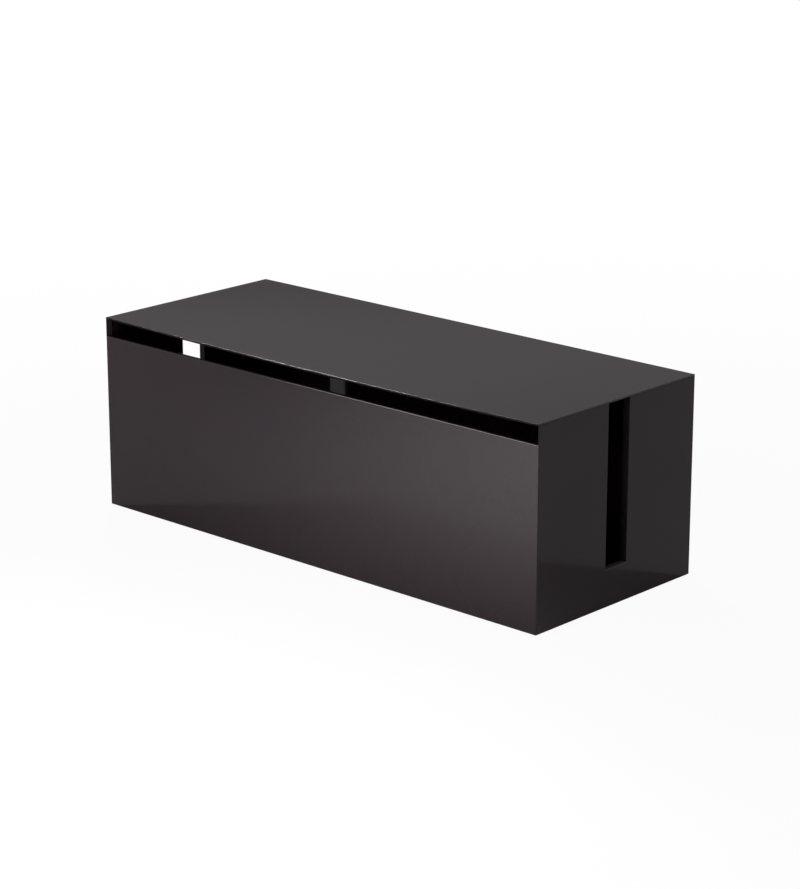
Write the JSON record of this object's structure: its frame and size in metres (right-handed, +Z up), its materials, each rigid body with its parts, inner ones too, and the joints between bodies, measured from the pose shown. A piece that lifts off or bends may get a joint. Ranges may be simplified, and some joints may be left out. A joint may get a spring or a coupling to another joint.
{
  "type": "cable management box",
  "caption": "Long low box of gloss black sheet with a lift-off lid, a cable gap along the front and an open-topped cable slot in each end.",
  "frame": {"origin": "centre of the footprint, on the surface that the box stands on", "axes": "+X along the box to its right end, +Y from the front panel to the rear panel, +Z up"},
  "size_m": [0.4, 0.16, 0.14],
  "materials": {
    "gloss_sheet": "high gloss, near black with a slight brown tint",
    "lid_sheet": "high gloss, near black",
    "slot_frame": "satin, near black",
    "lid_rail": "satin, near black",
    "foot_rubber": "matt black non-slip rubber"
  },
  "bodies": {
    "box": {"front_panel": "gloss_sheet", "rear_panel": "gloss_sheet", "left_end_panel": "gloss_sheet", "right_end_panel": "gloss_sheet", "base_panel": "gloss_sheet", "left_slot_frame": "slot_frame", "right_slot_frame": "slot_frame", "foot_front_left": "foot_rubber", "foot_front_right": "foot_rubber", "foot_rear_left": "foot_rubber", "foot_rear_right": "foot_rubber"},
    "lid": {"lid_panel": "lid_sheet", "lid_rear_rail": "lid_rail", "lid_left_front_rail": "lid_rail", "lid_left_rear_rail": "lid_rail", "lid_right_front_rail": "lid_rail", "lid_right_rear_rail": "lid_rail"}
  },
  "joints": [
    {"name": "lid_lift", "type": "slide", "parent": "box", "child": "lid", "axis": [0, 0, 1], "range_m": [0, 0.12]}
  ]
}
